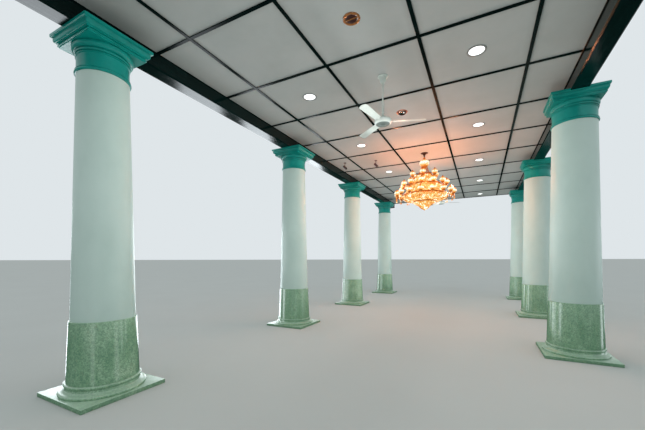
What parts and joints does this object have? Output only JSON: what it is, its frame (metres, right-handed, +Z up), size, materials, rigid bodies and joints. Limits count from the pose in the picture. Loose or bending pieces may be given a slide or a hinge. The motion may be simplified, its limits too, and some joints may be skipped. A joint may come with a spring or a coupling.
{
  "type": "mosque prayer hall colonnade",
  "caption": "Two rows of round columns carry dark beams and a boarded ceiling with a tiered chandelier and ceiling fans, over a clear prayer hall nave.",
  "frame": {"origin": "on the floor, under the middle of the ceiling field between the beams", "axes": "+Z up, +Y along the column rows, +X across the nave to the right-hand row"},
  "size_m": [5.96, 14.64, 4.25],
  "materials": {
    "green_marble": "polished",
    "mint_paint": "satin paint on plaster",
    "jade_paint": "semi-gloss paint on plaster",
    "dark_gloss_paint": "gloss paint on timber",
    "board_paint": "matt paint on board",
    "bare_timber": "sawn",
    "gilt_brass": "polished",
    "amber_glass": "cut glass, lit",
    "white_enamel": "gloss enamel",
    "grey_enamel": "grey enamel",
    "can_steel": "galvanised",
    "opal_glass": "milky, lit",
    "spot_enamel": "dark brown enamel"
  },
  "bodies": {
    "colonnade": {"left_column_1_base": "green_marble", "left_column_1_drum": "green_marble", "left_column_1_shaft": "mint_paint", "left_column_1_capital": "jade_paint", "left_column_2_base": "green_marble", "left_column_2_drum": "green_marble", "left_column_2_shaft": "mint_paint", "left_column_2_capital": "jade_paint", "left_column_3_base": "green_marble", "left_column_3_drum": "green_marble", "left_column_3_shaft": "mint_paint", "left_column_3_capital": "jade_paint", "left_column_4_base": "green_marble", "left_column_4_drum": "green_marble", "left_column_4_shaft": "mint_paint", "left_column_4_capital": "jade_paint", "right_column_1_base": "green_marble", "right_column_1_drum": "green_marble", "right_column_1_shaft": "mint_paint", "right_column_1_capital": "jade_paint", "right_column_2_base": "green_marble", "right_column_2_drum": "green_marble", "right_column_2_shaft": "mint_paint", "right_column_2_capital": "jade_paint", "right_column_3_base": "green_marble", "right_column_3_drum": "green_marble", "right_column_3_shaft": "mint_paint", "right_column_3_capital": "jade_paint", "right_column_4_base": "green_marble", "right_column_4_drum": "green_marble", "right_column_4_shaft": "mint_paint", "right_column_4_capital": "jade_paint", "left_beam": "dark_gloss_paint", "right_beam": "dark_gloss_paint", "ceiling_boards_far_left": "board_paint", "ceiling_boards_left": "board_paint", "ceiling_boards_middle": "board_paint", "ceiling_boards_right": "board_paint", "ceiling_boards_far_right": "board_paint", "cover_battens": "dark_gloss_paint", "ceiling_joists": "bare_timber", "chandelier_stem": "gilt_brass", "chandelier_upper_tier": "amber_glass", "chandelier_middle_tier": "amber_glass", "chandelier_lower_tier": "amber_glass", "chandelier_bowl": "amber_glass", "fan_1_rod": "white_enamel", "fan_2_rod": "white_enamel", "spotlight_1": "spot_enamel", "spotlight_2": "spot_enamel"},
    "fan_1": {"fan_1_rotor": "white_enamel"},
    "fan_2": {"fan_2_rotor": "white_enamel"}
  },
  "joints": [
    {"name": "fan_1_spin", "type": "hinge", "parent": "colonnade", "child": "fan_1", "pos_m": [0, -3.05, 3.4725], "axis": [0, 0, 1], "continuous": true},
    {"name": "fan_2_spin", "type": "hinge", "parent": "colonnade", "child": "fan_2", "pos_m": [0, 4.27, 3.4725], "axis": [0, 0, 1], "continuous": true}
  ]
}
